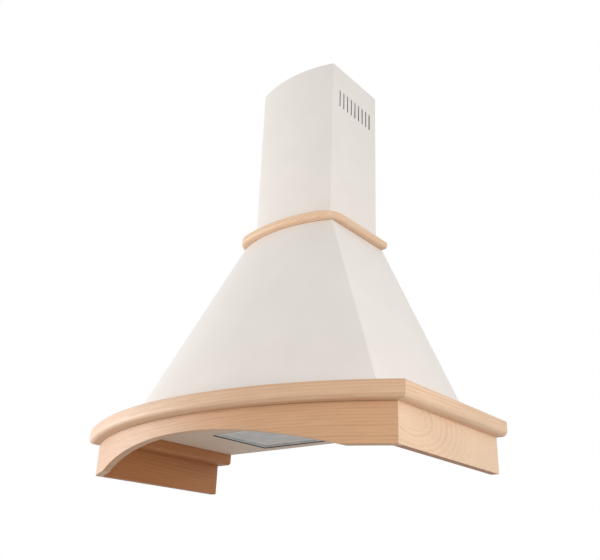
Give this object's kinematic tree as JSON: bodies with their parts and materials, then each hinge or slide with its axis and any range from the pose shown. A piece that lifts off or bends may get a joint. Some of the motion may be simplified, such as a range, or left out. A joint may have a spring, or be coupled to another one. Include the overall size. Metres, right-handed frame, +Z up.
{
  "type": "chimney range hood",
  "caption": "Wall-hung chimney range hood: flared cream steel canopy on a bow-fronted beech frame, telescopic chimney, tilting grease filter, blower, lamps and push buttons.",
  "frame": {"origin": "centre of the four wall fixing holes, on the wall plane", "axes": "+X to the right seen from the front, +Y into the wall, +Z up"},
  "size_m": [0.9, 0.522, 1.073],
  "materials": {
    "painted_steel": "cream stoved enamel, satin",
    "galvanised_steel": "zinc-coated sheet",
    "beech": "steamed beech, clear satin lacquer",
    "screw_steel": "zinc-plated",
    "filter_aluminium": "natural, washed",
    "latch_plastic": "grey moulding",
    "lamp_chrome": "polished",
    "lamp_glass": "frosted inside",
    "lamp_led": "diffusing cover",
    "switch_plastic": "cream moulding",
    "black_plastic": "flame-retardant moulding",
    "motor_iron": "laminated core",
    "bearing_brass": "sintered",
    "grommet_rubber": "soft black rubber",
    "capacitor_plastic": "moulded can"
  },
  "bodies": {
    "hood": {"back_panel": "galvanised_steel", "blower_cradle": "galvanised_steel", "body_rivets": "screw_steel", "cable_gland": "black_plastic", "canopy_shell": "painted_steel", "capacitor": "capacitor_plastic", "chimney_collar": "beech", "chimney_foot_screws": "screw_steel", "chimney_lower": "painted_steel", "cornice_front": "beech", "cornice_left": "beech", "cornice_right": "beech", "cradle_screws": "screw_steel", "damper_pins": "screw_steel", "filter_pivot_clips": "galvanised_steel", "frame_dowels": "beech", "frieze_front": "beech", "frieze_left": "beech", "frieze_right": "beech", "lamp_bezel_left": "lamp_chrome", "lamp_bezel_right": "lamp_chrome", "lamp_can_left": "galvanised_steel", "lamp_can_right": "galvanised_steel", "lamp_leds": "lamp_led", "lamp_lens_left": "lamp_glass", "lamp_lens_right": "lamp_glass", "motor_bracket": "galvanised_steel", "motor_bushes": "bearing_brass", "motor_cup": "galvanised_steel", "motor_grommets": "grommet_rubber", "motor_screws": "screw_steel", "motor_stator": "motor_iron", "outlet_spigot": "black_plastic", "scroll_screws": "screw_steel", "scroll_shell_left": "black_plastic", "scroll_shell_right": "black_plastic", "switch_box": "black_plastic", "switch_trim_plate": "switch_plastic", "terminal_box": "black_plastic", "terminal_box_lid": "black_plastic", "underside_tray": "painted_steel", "wiring_loom": "grommet_rubber", "wood_screws": "screw_steel"},
    "upper_chimney": {"chimney_upper": "painted_steel", "chimney_bracket": "galvanised_steel", "bracket_screws": "screw_steel"},
    "fan": {"impeller": "black_plastic", "motor_shaft": "screw_steel", "motor_rotor": "motor_iron"},
    "damper_left": {"damper_flap_left": "black_plastic"},
    "damper_right": {"damper_flap_right": "black_plastic"},
    "grease_filter": {"filter_frame": "filter_aluminium", "filter_mesh": "filter_aluminium", "filter_latch_case": "latch_plastic"},
    "latch": {"filter_latch": "latch_plastic"},
    "light_button": {"button_light": "switch_plastic"},
    "off_button": {"button_off": "switch_plastic"},
    "low_button": {"button_low": "switch_plastic"},
    "medium_button": {"button_medium": "switch_plastic"},
    "high_button": {"button_high": "switch_plastic"}
  },
  "joints": [
    {"name": "chimney_extend", "type": "slide", "parent": "hood", "child": "upper_chimney", "axis": [0, 0, 1], "range_m": [0, 0.33]},
    {"name": "fan_spin", "type": "hinge", "parent": "hood", "child": "fan", "pos_m": [0, -0.182, -0.015], "axis": [1, 0, 0], "continuous": true},
    {"name": "damper_left_swing", "type": "hinge", "parent": "hood", "child": "damper_left", "pos_m": [-0.005, -0.108, 0.185], "axis": [0, 1, 0], "range_deg": [0, 75]},
    {"name": "damper_right_swing", "type": "hinge", "parent": "hood", "child": "damper_right", "pos_m": [0.005, -0.108, 0.185], "axis": [0, -1, 0], "range_deg": [0, 75]},
    {"name": "filter_tilt", "type": "hinge", "parent": "hood", "child": "grease_filter", "pos_m": [0, -0.044, -0.2935], "axis": [1, 0, 0], "range_deg": [0, 80]},
    {"name": "latch_slide", "type": "slide", "parent": "grease_filter", "child": "latch", "axis": [0, 1, 0], "range_m": [0, 0.006], "stiffness_N_per_m": 600, "springref_m": -0.002},
    {"name": "light_press", "type": "slide", "parent": "hood", "child": "light_button", "axis": [0, 0, 1], "range_m": [0, 0.003], "stiffness_N_per_m": 400, "springref_m": -0.002},
    {"name": "off_press", "type": "slide", "parent": "hood", "child": "off_button", "axis": [0, 0, 1], "range_m": [0, 0.003], "stiffness_N_per_m": 400, "springref_m": -0.002},
    {"name": "low_press", "type": "slide", "parent": "hood", "child": "low_button", "axis": [0, 0, 1], "range_m": [0, 0.003], "stiffness_N_per_m": 400, "springref_m": -0.002},
    {"name": "medium_press", "type": "slide", "parent": "hood", "child": "medium_button", "axis": [0, 0, 1], "range_m": [0, 0.003], "stiffness_N_per_m": 400, "springref_m": -0.002},
    {"name": "high_press", "type": "slide", "parent": "hood", "child": "high_button", "axis": [0, 0, 1], "range_m": [0, 0.003], "stiffness_N_per_m": 400, "springref_m": -0.002}
  ]
}
